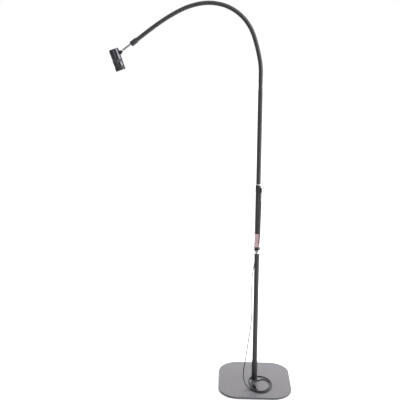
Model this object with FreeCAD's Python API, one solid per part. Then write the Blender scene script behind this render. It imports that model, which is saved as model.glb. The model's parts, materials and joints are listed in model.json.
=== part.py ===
"""Gooseneck reading floor lamp.

Frame: millimetres, +Z up.  The origin is on the floor, under the post's axis.  The neck's arm
reaches out along -X, in the plane Y = 0, and the plate's sides lie along X and Y.
"""
import FreeCAD
import Part
import math
import os

os.makedirs("parts", exist_ok=True)

V = FreeCAD.Vector
CUT_PAST = 1.0              # how far a cutting tool runs past the face that it opens

# --- Clearances -----------------------------------------------------------------------------
SEAT_GAP = 0.1              # radial room of a tube in its seat, both on one body
SWIVEL_GAP = 0.1            # radial room of a turning shaft in its bore
RUNNING_GAP = 0.3           # room between faces that slide past each other

# --- Base -----------------------------------------------------------------------------------
BASE_SIDE = 280.0           # square plate, side to side
BASE_CORNER = 76.0          # radius of the plate's corners
PLATE_THICKNESS = 6.0
PLATE_EDGE_ROUND = 1.5      # rounding of the plate's top edge
PAD_THICKNESS = 2.0         # foam pad that covers the plate's underside and the bolt
PAD_INSET = 4.0             # the pad stays this far inside the plate's edge
BOLT_RADIUS = 4.9           # bolt that holds the post from below
BOLT_LENGTH = 33.5
BOLT_HEAD_RADIUS = 8.5
BOLT_HEAD_HEIGHT = 2.8
BOLT_HEAD_ROOM = 0.2        # between the bolt's head and the pad
BOLT_KEY = 5.0              # across flats of the key socket in the head
BOLT_KEY_DEPTH = 1.8
BOLT_HOLE_ROOM = 0.4        # radial room of the bolt in the plate and in the foot
WASHER_RADIUS = 11.0
WASHER_THICKNESS = 1.0
RECESS_ROOM = 1.0           # radial room of the washer in the plate's recess

# --- Post -----------------------------------------------------------------------------------
TUBE_RADIUS = 9.5           # lower and middle tube
UPPER_RADIUS = 8.3          # upper tube
TUBE_WALL = 1.2
LOWER_TUBE = 515.0          # lengths of the three tubes
MIDDLE_TUBE = 230.0
UPPER_TUBE = 334.0
SOCKET_WALL = 2.2           # moulded foot that the lower tube stands in
SOCKET_HEIGHT = 77.0
SOCKET_FLOOR = 6.0
SOCKET_CHAMFER = 1.2
INSERT_LENGTH = 30.0        # threaded plug in the lower tube's end
CHROME_RING_PROUD = 0.7     # the rings between lower and middle tube stand this far out
CHROME_RING_HEIGHT = 13.0
DARK_RING_PROUD = 1.0
DARK_RING_HEIGHT = 13.0
RING_CHAMFER = 0.7
SPIGOT_REACH = 25.0         # how far the joining spigots go into each tube
LEAD_RADIUS = 2.1           # the lead inside the upper tube
CRIMP_WALL = 1.0            # the ferrule's crimp sleeve, round the lead and inside the neck
CRIMP_LENGTH = 15.0

# --- Collar where the supply cord comes out ---------------------------------------------------
COLLAR_WALL = 0.5
COLLAR_OVERLAP = 20.0       # how far the collar reaches down over the middle tube
COLLAR_ABOVE = 7.0          # and up over the upper tube
COLLAR_CHAMFER = 1.2
SILVER_RING_WALL = 1.2
SILVER_RING_HEIGHT = 3.0
LUG_TURN = -39.0            # where the cord comes out, round the post from +X towards +Y
LUG_OUT = 2.9               # the cord's exit, from the collar's outer face
LUG_RADIUS = 3.2
LUG_HEIGHT = 17.0

# --- Neck -----------------------------------------------------------------------------------
NECK_RADIUS = 7.5
WINDING_THICKNESS = 2.05    # the outer winding; the inner spring fills most of what is left
CORE_GAP = 0.15             # radial room between spring and winding
FERRULE_CONE = 24.0         # the tapered ferrule at the neck's foot
FERRULE_LIP = 0.2           # the ferrule's narrow end is this much wider than the neck
FERRULE_PLUG = 25.0
ROOT_LENGTH = 50.0          # the neck's fixed first stretch
FIRST_LINK = 53.0           # the lowest link above it
BEND_LINK = 77.0            # each link of the bend over the top
REACH_LINK = 68.4           # each link that reaches down to the head
FIRST_TURN = 11.7           # degrees that the lowest link bends
BEND_TURNS = (7.3, 25.7, 27.6, 25.0, 17.8)
REACH_TURNS = (7.1, 4.0, 0.0)

# --- Stem between neck and head ---------------------------------------------------------------
SLEEVE_WALL = 1.9
SLEEVE_OVER_NECK = 18.0
SLEEVE_LENGTH = 8.0         # beyond the neck's end
SLEEVE_CHAMFER = 1.5
STEM_RADIUS = 5.0
STEM_LENGTH = 52.5          # neck's end to the tilt pin
STEM_COLLAR_ROOM = 0.7      # radial room of the stem's collar inside the sleeve
STEM_COLLAR_HEIGHT = 5.0
TONGUE_THICKNESS = 6.0
TONGUE_REACH = 9.5          # flat tongue, back from the tilt pin

# --- Head, measured from its rear end ---------------------------------------------------------
HEAD_TILT = 18.7            # the head's axis leans this far from straight down, towards the post
SHELL_RADIUS = 17.3
SHELL_WALL = 2.2
SPIGOT_WALL = 1.3           # spigots that the shells are pushed over
SPIGOT_LENGTH = 4.0
CAP_RIM = 3.0               # the visible rim of the rear cap
CAP_INSET = 0.4
CAP_FLOOR = 4.0
CAP_CHAMFER = 0.8
DISH_WIDTH = 3.3            # dished finger recess round the button
DISH_DEPTH = 1.5
BUTTON_RADIUS = 5.9
BUTTON_SUNK = 0.2           # the button's face lies this far below the cap's rim
BUTTON_CHAMFER = 0.6
BUTTON_FLANGE = 1.3
BUTTON_FLANGE_HEIGHT = 1.2
BUTTON_TRAVEL = 1.5
SWITCH_SIDE = 9.0
SWITCH_HEIGHT = 11.7
REAR_SHELL_LENGTH = 35.5
MID_RING_LENGTH = 10.0
MID_RING_PROUD = 0.6
MID_RING_CHAMFER = 0.6
FRONT_SHELL_LENGTH = 15.0
BEZEL_LENGTH = 13.9
BEZEL_PROUD = 0.4
BEZEL_CHAMFER = 1.2
BEZEL_LIP = 2.4             # thickness of the lip that holds the lens, and how far it reaches in
BEZEL_LIP_REACH = 2.2
HEAT_SINK_PAST = 2.0        # the heat sink ends this far inside the ring between the shells
BOARD_INSET = 1.2
BOARD_THICKNESS = 1.6
EMITTER_RADIUS = 3.0
EMITTER_HEIGHT = 2.0
REFLECTOR_WALL = 1.0
REFLECTOR_RIM = 2.0         # straight rim at the reflector's wide end
LENS_FLANGE = 3.0
LENS_STEP = 0.4             # the lens's dome starts this far inside the bezel's mouth
LENS_PROUD = 3.5            # and bulges this far out of it

# --- Bracket and screw of the head's tilt ------------------------------------------------------
PIN_ALONG = 18.0            # the tilt pin, from the head's rear end
PIN_RADIUS = 2.0
EYE_RADIUS = 5.0            # round end of the stem's tongue and of the bracket's ears
EYE_ROOM = 0.4              # between the tongue's eye and the bracket's face
EAR_THICKNESS = 3.0
EAR_SHOULDER = 4.0          # the ears widen over this length towards the head
BRACKET_LENGTH = 14.0
BRACKET_PROUD = 0.1         # the bracket's face between its ears, out of the rear shell
SCREW_HEAD_RADIUS = 3.8
SCREW_HEAD_HEIGHT = 2.0
SCREW_SLOT_WIDTH = 0.9
SCREW_SLOT_DEPTH = 0.8
NUT_RADIUS = 3.9
NUT_HEIGHT = 2.0

# --- Supply cord ------------------------------------------------------------------------------
CORD_DIAMETER = 3.5
BOOT_LENGTH = 32.0          # tapered strain relief below the collar's lug
BOOT_STEP = 0.3             # its root is this much narrower than the lug
BOOT_ROOT = 2.0             # straight length at the root
BOOT_TIP = 0.55             # wall at the tip
PLUG_RADIUS = 5.0           # round low-voltage plug
PLUG_LENGTH = 22.0
PLUG_TAPER = 6.0
PLUG_SHOULDER = 0.8
PLUG_SHOULDER_LENGTH = 1.5
PLUG_CHAMFER = 1.0
BARREL_RADIUS = 2.75
BARREL_BORE = 1.05
BARREL_LENGTH = 9.5
BARREL_FLOOR = 1.0


def rod(radius, z_low, z_high):
    """A plain round bar along +Z."""
    return Part.makeCylinder(radius, z_high - z_low, V(0, 0, z_low))


def tube(outer, inner, z_low, z_high):
    """A plain tube along +Z."""
    return rod(outer, z_low, z_high).cut(rod(inner, z_low - CUT_PAST, z_high + CUT_PAST))


def cross_rod(radius, centre, start, length):
    """A round bar along +Y, from start, through a point (x, z)."""
    return Part.makeCylinder(radius, length, V(centre[0], start, centre[1]), V(0, 1, 0))


def turned(profile):
    """A turned solid: profile lists (radius, height) corners around its half section."""
    corners = [V(radius, 0, height) for radius, height in profile]
    outline = Part.makePolygon(corners + corners[:1])
    return Part.Face(outline).revolve(V(0, 0, 0), V(0, 0, 1), 360)


def hexagon(radius, centre, across, up):
    """A six-sided face round a centre, between two directions."""
    corners = []
    for k in range(6):
        angle = math.radians(60 * k)
        corners.append(centre + across * radius * math.cos(angle) + up * radius * math.sin(angle))
    return Part.Face(Part.makePolygon(corners + corners[:1]))


def edges_at(shape, height):
    """The shape's edges that lie wholly at one height."""
    boxes = [(edge, edge.BoundBox) for edge in shape.Edges]
    return [edge for edge, box in boxes if box.ZLength < 0.01 and abs(box.ZMin - height) < 0.01]


def rounded_square(side, corner, z_low, z_high):
    """A square plate with rounded corners, centred on the post's axis."""
    plate = Part.makeBox(side, side, z_high - z_low, V(-side / 2, -side / 2, z_low))
    upright = [edge for edge in plate.Edges if edge.BoundBox.ZLength > (z_high - z_low) / 2]
    return plate.makeFillet(corner, upright)


def frame_at(origin, along, sideways):
    """The placement whose Z runs along, and whose X lies as near sideways as it can."""
    z_axis = V(along).normalize()
    y_axis = z_axis.cross(sideways).normalize()
    x_axis = y_axis.cross(z_axis)
    return FreeCAD.Placement(FreeCAD.Matrix(
        x_axis.x, y_axis.x, z_axis.x, origin.x,
        x_axis.y, y_axis.y, z_axis.y, origin.y,
        x_axis.z, y_axis.z, z_axis.z, origin.z,
        0, 0, 0, 1))


def placed(shape, placement):
    """A copy of the shape, moved from its own frame to its place on the lamp."""
    copy = shape.copy()
    copy.Placement = placement.multiply(copy.Placement)
    return copy


pieces = {}

# === Base =====================================================================================
plate_low = PAD_THICKNESS
plate_top = plate_low + PLATE_THICKNESS
bolt_low = plate_low + BOLT_HEAD_ROOM
washer_low = bolt_low + BOLT_HEAD_HEIGHT
washer_top = washer_low + WASHER_THICKNESS
bolt_hole = BOLT_RADIUS + BOLT_HOLE_ROOM

plate = rounded_square(BASE_SIDE, BASE_CORNER, plate_low, plate_top)
plate = plate.makeFillet(PLATE_EDGE_ROUND, edges_at(plate, plate_top))
plate = plate.cut(rod(bolt_hole, plate_low - CUT_PAST, plate_top + CUT_PAST))
plate = plate.cut(rod(WASHER_RADIUS + RECESS_ROOM, plate_low - CUT_PAST, washer_top))
pieces["base_plate"] = plate
pieces["base_pad"] = rounded_square(BASE_SIDE - 2 * PAD_INSET, BASE_CORNER - PAD_INSET, 0, PAD_THICKNESS)
pieces["base_washer"] = tube(WASHER_RADIUS, bolt_hole, washer_low, washer_top)

bolt = rod(BOLT_HEAD_RADIUS, bolt_low, washer_low).fuse(rod(BOLT_RADIUS, bolt_low, washer_low + BOLT_LENGTH))
bolt_key = hexagon(BOLT_KEY / math.sqrt(3), V(0, 0, bolt_low), V(1, 0, 0), V(0, 1, 0))
pieces["base_bolt"] = bolt.removeSplitter().cut(bolt_key.extrude(V(0, 0, BOLT_KEY_DEPTH)))

# === Foot and lower tube ======================================================================
tube_foot = plate_top + SOCKET_FLOOR
socket_top = plate_top + SOCKET_HEIGHT
tube_bore = TUBE_RADIUS - TUBE_WALL
tube_seat = TUBE_RADIUS + SEAT_GAP            # bore of what goes over the lower and middle tube
socket_radius = tube_seat + SOCKET_WALL
pieces["foot_socket"] = turned([
    (bolt_hole, plate_top),
    (socket_radius, plate_top),
    (socket_radius, socket_top - SOCKET_CHAMFER),
    (socket_radius - SOCKET_CHAMFER, socket_top),
    (tube_seat, socket_top),
    (tube_seat, tube_foot),
    (bolt_hole, tube_foot)])
insert_top = tube_foot + INSERT_LENGTH
pieces["foot_insert"] = tube(tube_bore - SEAT_GAP, BOLT_RADIUS + SEAT_GAP, tube_foot, insert_top)

lower_top = tube_foot + LOWER_TUBE
pieces["lower_tube"] = tube(TUBE_RADIUS, tube_bore, tube_foot, lower_top)

# === Joint between lower and middle tube ======================================================
chrome_top = lower_top + CHROME_RING_HEIGHT
middle_low = chrome_top + DARK_RING_HEIGHT


def joint_ring(outer, z_low, z_high):
    """A ring round a spigot, with both outer edges chamfered."""
    return turned([
        (tube_bore, z_low),
        (outer - RING_CHAMFER, z_low),
        (outer, z_low + RING_CHAMFER),
        (outer, z_high - RING_CHAMFER),
        (outer - RING_CHAMFER, z_high),
        (tube_bore, z_high)])


pieces["chrome_ring"] = joint_ring(TUBE_RADIUS + CHROME_RING_PROUD, lower_top, chrome_top)
pieces["dark_ring"] = joint_ring(TUBE_RADIUS + DARK_RING_PROUD, chrome_top, middle_low)
pieces["coupler_spigot"] = rod(tube_bore - SEAT_GAP, lower_top - SPIGOT_REACH, middle_low + SPIGOT_REACH)

# === Middle tube, collar and upper tube =======================================================
middle_top = middle_low + MIDDLE_TUBE
collar_low = middle_top - COLLAR_OVERLAP
collar_top = middle_top + COLLAR_ABOVE
ring_top = collar_top + SILVER_RING_HEIGHT
upper_top = middle_top + UPPER_TUBE
upper_bore = UPPER_RADIUS - TUBE_WALL
upper_seat = UPPER_RADIUS + SEAT_GAP          # bore of what goes over the upper tube
crimp_bore = LEAD_RADIUS + RUNNING_GAP
crimp_radius = crimp_bore + CRIMP_WALL
lead_way = crimp_radius + SEAT_GAP            # radius of the lead's way through spigot and neck
pieces["middle_tube"] = tube(TUBE_RADIUS, tube_bore, middle_low, middle_top)
pieces["upper_tube"] = tube(UPPER_RADIUS, upper_bore, middle_top, upper_top)
pieces["collar_spigot"] = turned([
    (crimp_bore, middle_top - SPIGOT_REACH),
    (tube_bore - SEAT_GAP, middle_top - SPIGOT_REACH),
    (tube_bore - SEAT_GAP, middle_top),
    (upper_bore - SEAT_GAP, middle_top),
    (upper_bore - SEAT_GAP, middle_top + SPIGOT_REACH),
    (crimp_bore, middle_top + SPIGOT_REACH)])

collar_radius = tube_seat + COLLAR_WALL
collar = turned([
    (tube_seat, collar_low),
    (collar_radius, collar_low),
    (collar_radius, collar_top - COLLAR_CHAMFER),
    (collar_radius - COLLAR_CHAMFER, collar_top),
    (upper_seat, collar_top),
    (upper_seat, middle_top),
    (tube_seat, middle_top)])
exit_offset = collar_radius + LUG_OUT
lug_turn = math.radians(LUG_TURN)
exit_x = exit_offset * math.cos(lug_turn)
exit_y = exit_offset * math.sin(lug_turn)
lug = Part.makeCylinder(LUG_RADIUS, LUG_HEIGHT, V(exit_offset, 0, collar_low))
lug_web = Part.makeBox(exit_offset, 2 * LUG_RADIUS, LUG_HEIGHT, V(0, -LUG_RADIUS, collar_low))
lug = lug.fuse(lug_web).removeSplitter()
lug = lug.makeChamfer(COLLAR_CHAMFER, edges_at(lug, collar_low + LUG_HEIGHT))
lug = lug.cut(rod(tube_seat, collar_low - CUT_PAST, collar_top))
lug.rotate(V(0, 0, 0), V(0, 0, 1), LUG_TURN)
pieces["cord_collar"] = collar.fuse(lug).removeSplitter()
pieces["silver_ring"] = tube(upper_seat + SILVER_RING_WALL, upper_seat, collar_top, ring_top)

# === Ferrule at the neck's foot, and the lead that it guides ====================================
neck_low = upper_top + FERRULE_CONE
crimp_top = neck_low + CRIMP_LENGTH
pieces["neck_ferrule"] = turned([
    (crimp_bore, upper_top - FERRULE_PLUG),
    (upper_bore - SEAT_GAP, upper_top - FERRULE_PLUG),
    (upper_bore - SEAT_GAP, upper_top),
    (UPPER_RADIUS, upper_top),
    (NECK_RADIUS + FERRULE_LIP, neck_low),
    (crimp_radius, neck_low),
    (crimp_radius, crimp_top),
    (crimp_bore, crimp_top)])
pieces["pole_lead"] = rod(LEAD_RADIUS, middle_top - SPIGOT_REACH, crimp_top)


# === Neck: links that turn on each other like balls in cups =====================================
class Link:
    """One stretch of the neck, from the pivot it hangs on to the next one."""

    def __init__(self, start, heading, length, turn):
        self.start = start          # point on the neck's centreline
        self.heading = heading      # degrees from +X towards +Z
        self.length = length
        self.turn = turn            # degrees that the stretch bends; 0 if it is straight
        self.radius = length / math.radians(turn) if turn else None

    def placement(self):
        angle = math.radians(self.heading)
        along = V(math.cos(angle), 0, math.sin(angle))
        return frame_at(self.start, along, V(-math.sin(angle), 0, math.cos(angle)))

    def end(self):
        """The place of the link's far end, in its own frame."""
        if self.radius is None:
            return V(0, 0, self.length)
        turn = math.radians(self.turn)
        return V(self.radius * (1 - math.cos(turn)), 0, self.radius * math.sin(turn))

    def end_placement(self):
        """The frame at the link's far end, seen from the link's own frame."""
        turn = math.radians(self.turn)
        across = V(math.cos(turn), 0, -math.sin(turn))
        return frame_at(self.end(), V(math.sin(turn), 0, math.cos(turn)), across)

    def next(self, length, turn):
        start = self.placement().multVec(self.end())
        return Link(start, self.heading + self.turn, length, turn)

    def swept(self, outer, inner, start=0.0):
        """A tube along the link's centreline, from a distance past its start to its far end."""
        ring = Part.Face(Part.Wire(Part.makeCircle(outer))).cut(Part.Face(Part.Wire(Part.makeCircle(inner))))
        if self.radius is None:
            bar = ring.extrude(V(0, 0, self.length - start))
            bar.translate(V(0, 0, start))
            return bar
        trim = math.degrees(start / self.radius)
        bent = ring.revolve(V(self.radius, 0, 0), V(0, 1, 0), self.turn - trim)
        bent.rotate(V(self.radius, 0, 0), V(0, 1, 0), trim)
        return bent


def ball_end(outer, inner):
    """The rounded end that sits in the next link's cup."""
    reach = math.sqrt(outer ** 2 - inner ** 2)
    middle = (math.pi / 2 + math.asin(inner / outer)) / 2
    outline = Part.Wire([
        Part.LineSegment(V(inner, 0, 0), V(outer, 0, 0)).toShape(),
        Part.Arc(V(outer, 0, 0), V(outer * math.sin(middle), 0, outer * math.cos(middle)),
                 V(inner, 0, reach)).toShape(),
        Part.LineSegment(V(inner, 0, reach), V(inner, 0, 0)).toShape()])
    return Part.Face(outline).revolve(V(0, 0, 0), V(0, 0, 1), 360)


def winding(link, has_cup, has_ball):
    """The outer winding of one link, with a cup where it starts and a ball where it ends."""
    solid = link.swept(NECK_RADIUS, winding_bore)
    if has_ball:
        solid = solid.fuse(placed(ball_end(NECK_RADIUS, winding_bore), link.end_placement()))
    if has_cup:
        solid = solid.cut(Part.makeSphere(cup_radius))
    return solid


winding_bore = NECK_RADIUS - WINDING_THICKNESS
core_radius = winding_bore - CORE_GAP
cup_radius = NECK_RADIUS + RUNNING_GAP
links = [Link(V(0, 0, neck_low), 90.0, ROOT_LENGTH, 0.0)]
links.append(links[-1].next(FIRST_LINK, FIRST_TURN))
for turn in BEND_TURNS:
    links.append(links[-1].next(BEND_LINK, turn))
for turn in REACH_TURNS:
    links.append(links[-1].next(REACH_LINK, turn))

for index, link in enumerate(links):
    shell = winding(link, has_cup=index > 0, has_ball=index < len(links) - 1)
    pieces["neck_winding_%d" % index] = placed(shell, link.placement())
    core = link.swept(core_radius, lead_way, cup_radius if index > 0 else 0.0)
    pieces["neck_core_%d" % index] = placed(core, link.placement())

# === Sleeve at the neck's end, and the stem that swivels in it ================================
neck_end = links[-1].next(STEM_LENGTH, 0.0)
stem_place = neck_end.placement()
neck_seat = NECK_RADIUS + SEAT_GAP
sleeve_radius = neck_seat + SLEEVE_WALL
collar_room = STEM_COLLAR_HEIGHT + 2 * RUNNING_GAP
sleeve = turned([
    (neck_seat, -SLEEVE_OVER_NECK),
    (sleeve_radius - SLEEVE_CHAMFER, -SLEEVE_OVER_NECK),
    (sleeve_radius, -SLEEVE_OVER_NECK + SLEEVE_CHAMFER),
    (sleeve_radius, SLEEVE_LENGTH - SLEEVE_CHAMFER),
    (sleeve_radius - SLEEVE_CHAMFER, SLEEVE_LENGTH),
    (STEM_RADIUS + SWIVEL_GAP, SLEEVE_LENGTH),
    (STEM_RADIUS + SWIVEL_GAP, collar_room),
    (neck_seat, collar_room)])
pieces["neck_end_sleeve"] = placed(sleeve, stem_place)

shaft_end = STEM_LENGTH - TONGUE_REACH
half_tongue = TONGUE_THICKNESS / 2
stem = rod(STEM_RADIUS, RUNNING_GAP, shaft_end)
stem = stem.fuse(rod(neck_seat - STEM_COLLAR_ROOM, RUNNING_GAP, RUNNING_GAP + STEM_COLLAR_HEIGHT))
tongue = Part.makeBox(2 * EYE_RADIUS, TONGUE_THICKNESS, TONGUE_REACH + CUT_PAST,
                      V(-EYE_RADIUS, -half_tongue, shaft_end - CUT_PAST))
tongue = tongue.common(rod(STEM_RADIUS, shaft_end - CUT_PAST, STEM_LENGTH).fuse(
    Part.makeBox(2 * EYE_RADIUS, TONGUE_THICKNESS, TONGUE_REACH, V(-EYE_RADIUS, -half_tongue, shaft_end))))
eye = cross_rod(EYE_RADIUS, (0, STEM_LENGTH), -half_tongue, TONGUE_THICKNESS)
eye_hole = cross_rod(PIN_RADIUS + SWIVEL_GAP, (0, STEM_LENGTH), -TONGUE_THICKNESS, 2 * TONGUE_THICKNESS)
stem = stem.fuse([tongue, eye]).removeSplitter().cut(eye_hole)
pieces["stem"] = placed(stem, stem_place)

# === Head =====================================================================================
bracket_face = SHELL_RADIUS + BRACKET_PROUD
pin_offset = bracket_face + EYE_ROOM + EYE_RADIUS
lean = math.radians(HEAD_TILT)
head_along = V(math.sin(lean), 0, -math.cos(lean))
head_sideways = V(math.cos(lean), 0, math.sin(lean))
pin_point = stem_place.multVec(V(0, 0, STEM_LENGTH))
head_rear = pin_point - head_along * PIN_ALONG - head_sideways * pin_offset
head_place = frame_at(head_rear, head_along, head_sideways)

shell_bore = SHELL_RADIUS - SHELL_WALL
spigot_radius = shell_bore - SEAT_GAP
spigot_bore = spigot_radius - SPIGOT_WALL
rear_shell_end = CAP_RIM + REAR_SHELL_LENGTH
mid_ring_end = rear_shell_end + MID_RING_LENGTH
front_shell_end = mid_ring_end + FRONT_SHELL_LENGTH
head_end = front_shell_end + BEZEL_LENGTH
bracket_width = TONGUE_THICKNESS + 2 * (RUNNING_GAP + EAR_THICKNESS)
bracket_start = PIN_ALONG - BRACKET_LENGTH / 2

# Rear shell, with the window that the bracket comes out of
window = Part.makeBox(SHELL_RADIUS, bracket_width + 2 * SEAT_GAP, BRACKET_LENGTH + 2 * SEAT_GAP,
                      V(0, -bracket_width / 2 - SEAT_GAP, bracket_start - SEAT_GAP))
rear_shell = tube(SHELL_RADIUS, shell_bore, CAP_RIM, rear_shell_end).cut(window)
pieces["rear_shell"] = placed(rear_shell, head_place)

# Rear cap with its dished recess
cap_radius = SHELL_RADIUS - CAP_INSET
cap_hole = BUTTON_RADIUS + RUNNING_GAP
cap_end = CAP_RIM + SPIGOT_LENGTH
rear_cap = turned([
    (cap_hole, DISH_DEPTH),
    (cap_hole + DISH_WIDTH - DISH_DEPTH, DISH_DEPTH),
    (cap_hole + DISH_WIDTH, 0),
    (cap_radius - CAP_CHAMFER, 0),
    (cap_radius, CAP_CHAMFER),
    (cap_radius, CAP_RIM),
    (spigot_radius, CAP_RIM),
    (spigot_radius, cap_end),
    (spigot_bore, cap_end),
    (spigot_bore, CAP_FLOOR),
    (cap_hole, CAP_FLOOR)])
pieces["rear_cap"] = placed(rear_cap, head_place)

# Push button and the switch that it works
flange_low = CAP_FLOOR + RUNNING_GAP
flange_high = flange_low + BUTTON_FLANGE_HEIGHT
button = turned([
    (0, BUTTON_SUNK),
    (BUTTON_RADIUS - BUTTON_CHAMFER, BUTTON_SUNK),
    (BUTTON_RADIUS, BUTTON_SUNK + BUTTON_CHAMFER),
    (BUTTON_RADIUS, flange_low),
    (BUTTON_RADIUS + BUTTON_FLANGE, flange_low),
    (BUTTON_RADIUS + BUTTON_FLANGE, flange_high),
    (0, flange_high)])
pieces["switch_button"] = placed(button, head_place)

switch_low = flange_high + BUTTON_TRAVEL + RUNNING_GAP
heat_sink_low = switch_low + SWITCH_HEIGHT
switch_corner = V(-SWITCH_SIDE / 2, -SWITCH_SIDE / 2, switch_low)
switch = Part.makeBox(SWITCH_SIDE, SWITCH_SIDE, SWITCH_HEIGHT, switch_corner)
pieces["switch_body"] = placed(switch, head_place)

# Heat sink, board, light source
heat_sink_radius = shell_bore - RUNNING_GAP
heat_sink_high = rear_shell_end + HEAT_SINK_PAST
heat_sink = rod(heat_sink_radius, heat_sink_low, rear_shell_end - SPIGOT_LENGTH)
heat_sink = heat_sink.fuse(rod(spigot_bore - SEAT_GAP, heat_sink_low, heat_sink_high)).removeSplitter()
pieces["heat_sink"] = placed(heat_sink, head_place)
board_high = heat_sink_high + BOARD_THICKNESS
pieces["led_board"] = placed(rod(spigot_bore - BOARD_INSET, heat_sink_high, board_high), head_place)
pieces["led_emitter"] = placed(rod(EMITTER_RADIUS, board_high, board_high + EMITTER_HEIGHT), head_place)

# Ring between the shells, and the front shell
mid_ring_radius = SHELL_RADIUS + MID_RING_PROUD
mid_ring = turned([
    (spigot_bore, rear_shell_end - SPIGOT_LENGTH),
    (spigot_radius, rear_shell_end - SPIGOT_LENGTH),
    (spigot_radius, rear_shell_end),
    (mid_ring_radius - MID_RING_CHAMFER, rear_shell_end),
    (mid_ring_radius, rear_shell_end + MID_RING_CHAMFER),
    (mid_ring_radius, mid_ring_end - MID_RING_CHAMFER),
    (mid_ring_radius - MID_RING_CHAMFER, mid_ring_end),
    (spigot_radius, mid_ring_end),
    (spigot_radius, mid_ring_end + SPIGOT_LENGTH),
    (spigot_bore, mid_ring_end + SPIGOT_LENGTH)])
pieces["mid_ring"] = placed(mid_ring, head_place)
pieces["front_shell"] = placed(tube(SHELL_RADIUS, shell_bore, mid_ring_end, front_shell_end), head_place)

# Bezel with the lip that holds the lens
lip_low = head_end - BEZEL_LIP
lens_low = lip_low - LENS_FLANGE
bezel_radius = SHELL_RADIUS + BEZEL_PROUD
bezel_mouth = spigot_radius - BEZEL_LIP_REACH
bezel = turned([
    (spigot_bore, front_shell_end - SPIGOT_LENGTH),
    (spigot_radius, front_shell_end - SPIGOT_LENGTH),
    (spigot_radius, front_shell_end),
    (bezel_radius, front_shell_end),
    (bezel_radius, head_end - BEZEL_CHAMFER),
    (bezel_radius - BEZEL_CHAMFER, head_end),
    (bezel_mouth, head_end),
    (bezel_mouth, lip_low),
    (spigot_radius, lip_low),
    (spigot_radius, lens_low),
    (spigot_bore, lens_low)])
pieces["bezel"] = placed(bezel, head_place)

# Domed lens behind the lip
flange_edge = spigot_radius - SEAT_GAP
lens_edge = bezel_mouth - SEAT_GAP
dome_low = head_end - LENS_STEP
dome_top = head_end + LENS_PROUD
dome_rise = dome_top - dome_low
dome_radius = (lens_edge ** 2 + dome_rise ** 2) / (2 * dome_rise)
dome_middle = math.asin(lens_edge / dome_radius) / 2
dome_point = V(dome_radius * math.sin(dome_middle), 0, dome_top - dome_radius * (1 - math.cos(dome_middle)))
lens_outline = Part.Wire([
    Part.LineSegment(V(0, 0, lens_low), V(flange_edge, 0, lens_low)).toShape(),
    Part.LineSegment(V(flange_edge, 0, lens_low), V(flange_edge, 0, lip_low)).toShape(),
    Part.LineSegment(V(flange_edge, 0, lip_low), V(lens_edge, 0, lip_low)).toShape(),
    Part.LineSegment(V(lens_edge, 0, lip_low), V(lens_edge, 0, dome_low)).toShape(),
    Part.Arc(V(lens_edge, 0, dome_low), dome_point, V(0, 0, dome_top)).toShape(),
    Part.LineSegment(V(0, 0, dome_top), V(0, 0, lens_low)).toShape()])
pieces["lens"] = placed(Part.Face(lens_outline).revolve(V(0, 0, 0), V(0, 0, 1), 360), head_place)

# Reflector between light source and lens
throat = EMITTER_RADIUS + RUNNING_GAP
reflector_low = board_high + RUNNING_GAP
reflector_radius = spigot_bore - SEAT_GAP
reflector = turned([
    (throat, reflector_low),
    (throat + REFLECTOR_WALL, reflector_low),
    (reflector_radius, lens_low - REFLECTOR_RIM),
    (reflector_radius, lens_low),
    (reflector_radius - REFLECTOR_WALL, lens_low)])
pieces["reflector"] = placed(reflector, head_place)

# === Tilt bracket, screw and nut ==============================================================
pin_centre = (pin_offset, PIN_ALONG)
shoulder_centre = (pin_offset - EAR_SHOULDER, PIN_ALONG)
half_width = bracket_width / 2
bracket = Part.makeBox(bracket_face, bracket_width, BRACKET_LENGTH, V(0, -half_width, bracket_start))
for ear_start in (-half_width, half_width - EAR_THICKNESS):
    cheek = Part.makeBox(pin_offset, EAR_THICKNESS, BRACKET_LENGTH, V(0, ear_start, bracket_start))
    shoulder = cross_rod(EYE_RADIUS + EAR_SHOULDER, shoulder_centre, ear_start, EAR_THICKNESS)
    ear = cross_rod(EYE_RADIUS, pin_centre, ear_start, EAR_THICKNESS)
    bracket = bracket.fuse(cheek.common(shoulder).fuse(ear))
bracket = bracket.removeSplitter().cut(rod(heat_sink_radius + SEAT_GAP, 0, rear_shell_end))
pin_seat = cross_rod(PIN_RADIUS + SEAT_GAP / 2, pin_centre, -bracket_width, 2 * bracket_width)
pieces["tilt_bracket"] = placed(bracket.cut(pin_seat), head_place)

screw = cross_rod(PIN_RADIUS, pin_centre, -half_width - NUT_HEIGHT, bracket_width + NUT_HEIGHT)
screw = screw.fuse(cross_rod(SCREW_HEAD_RADIUS, pin_centre, half_width, SCREW_HEAD_HEIGHT))
slot_length = 2 * (SCREW_HEAD_RADIUS + CUT_PAST)
slot = Part.makeBox(slot_length, SCREW_SLOT_DEPTH + CUT_PAST, SCREW_SLOT_WIDTH,
                    V(pin_offset - slot_length / 2, half_width + SCREW_HEAD_HEIGHT - SCREW_SLOT_DEPTH,
                      PIN_ALONG - SCREW_SLOT_WIDTH / 2))
pieces["tilt_screw"] = placed(screw.cut(slot), head_place)

nut = hexagon(NUT_RADIUS, V(pin_offset, -half_width, PIN_ALONG), V(1, 0, 0), V(0, 0, 1))
nut = nut.extrude(V(0, -NUT_HEIGHT, 0)).cut(pin_seat)
pieces["tilt_nut"] = placed(nut, head_place)

# === Supply cord, its strain relief and its plug ==============================================
exit_height = collar_low - BOOT_LENGTH
cord_radius = CORD_DIAMETER / 2
cord_lay = plate_top + cord_radius            # height of the cord's axis where it lies on the plate
plug_lay = plate_top + PLUG_RADIUS            # and of the plug's
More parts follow.
